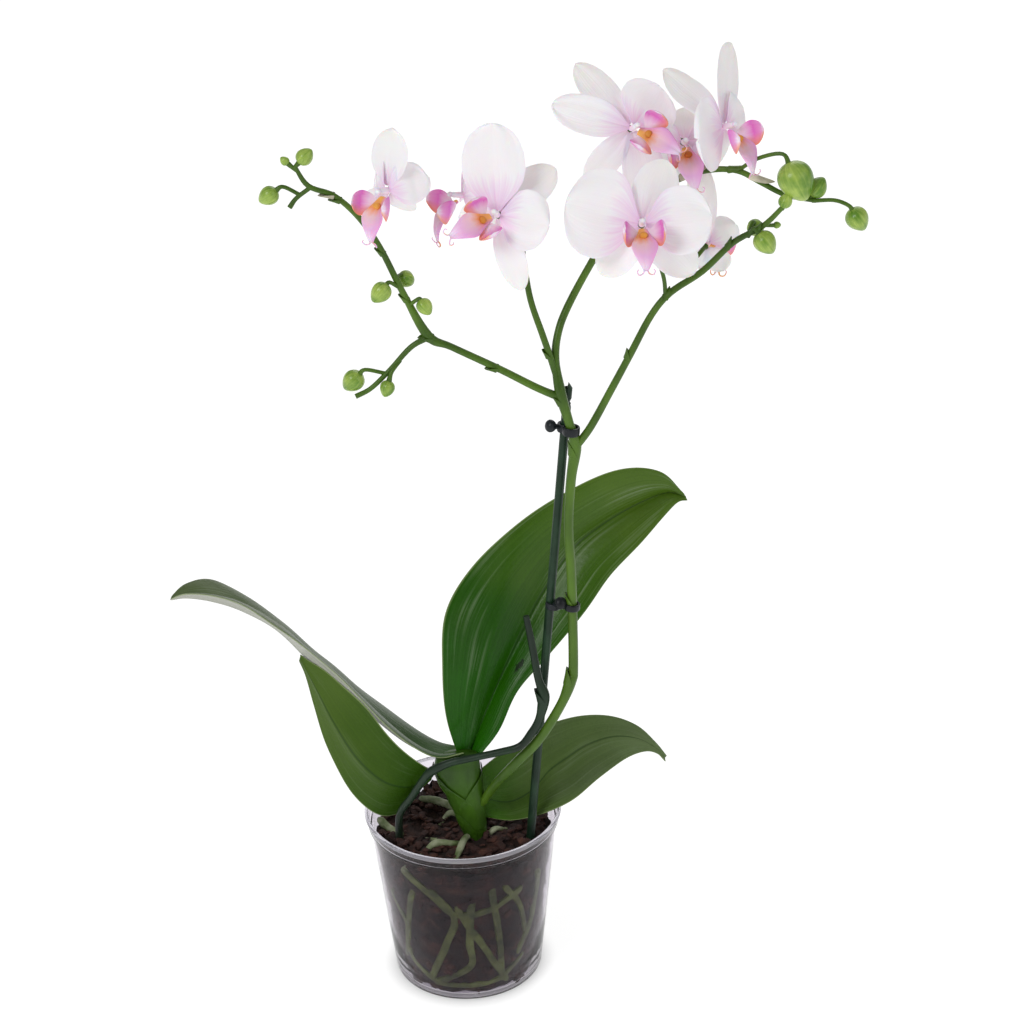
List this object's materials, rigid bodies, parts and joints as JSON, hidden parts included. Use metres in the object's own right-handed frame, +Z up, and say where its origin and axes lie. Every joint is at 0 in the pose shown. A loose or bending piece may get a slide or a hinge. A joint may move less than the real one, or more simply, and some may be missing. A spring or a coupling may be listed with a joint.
{
  "type": "potted orchid",
  "caption": "Potted moth orchid in a clear nursery pot, with arching leaves, a branched flowering spike, a cut-back spike, buds, a stake and clips.",
  "frame": {"origin": "centre of the pot's base, on the surface that the pot stands on", "axes": "+Z up along the pot's axis; -Y towards the viewer's side, which the front blooms face; +X to the viewer's right, where the flowering spike leans"},
  "size_m": [0.4035, 0.129, 0.5801],
  "materials": {
    "clear_plastic": "clear, slightly milky, thin",
    "bark": "rough, damp bark and coir",
    "root_skin": "satin, silvery green",
    "stem_green": "satin, green",
    "leaf_green": "semi-gloss, green",
    "old_stem": "satin, dark green",
    "stake_green": "satin, dark green",
    "clip_black": "satin, black",
    "petal_white": "soft, near-white with a pink flush",
    "lip_magenta": "soft, magenta with an orange throat"
  },
  "bodies": {
    "root": {"pot": "clear_plastic", "growing_medium": "bark", "roots": "root_skin", "stem_crown": "stem_green", "leaf_upright": "leaf_green", "leaf_right": "leaf_green", "leaf_long": "leaf_green", "leaf_low": "leaf_green", "flower_spike": "stem_green", "cut_spike": "old_stem", "stake": "stake_green", "clip_lower": "clip_black", "clip_upper": "clip_black", "bloom_1": "petal_white", "bloom_1_lip": "lip_magenta", "bloom_2": "petal_white", "bloom_2_lip": "lip_magenta", "bloom_3": "petal_white", "bloom_3_lip": "lip_magenta", "bloom_4": "petal_white", "bloom_4_lip": "lip_magenta", "bloom_5": "petal_white", "bloom_5_lip": "lip_magenta", "bloom_6": "petal_white", "bloom_6_lip": "lip_magenta", "bloom_7": "petal_white", "bloom_7_lip": "lip_magenta", "bloom_8": "petal_white", "bloom_8_lip": "lip_magenta"}
  },
  "joints": []
}
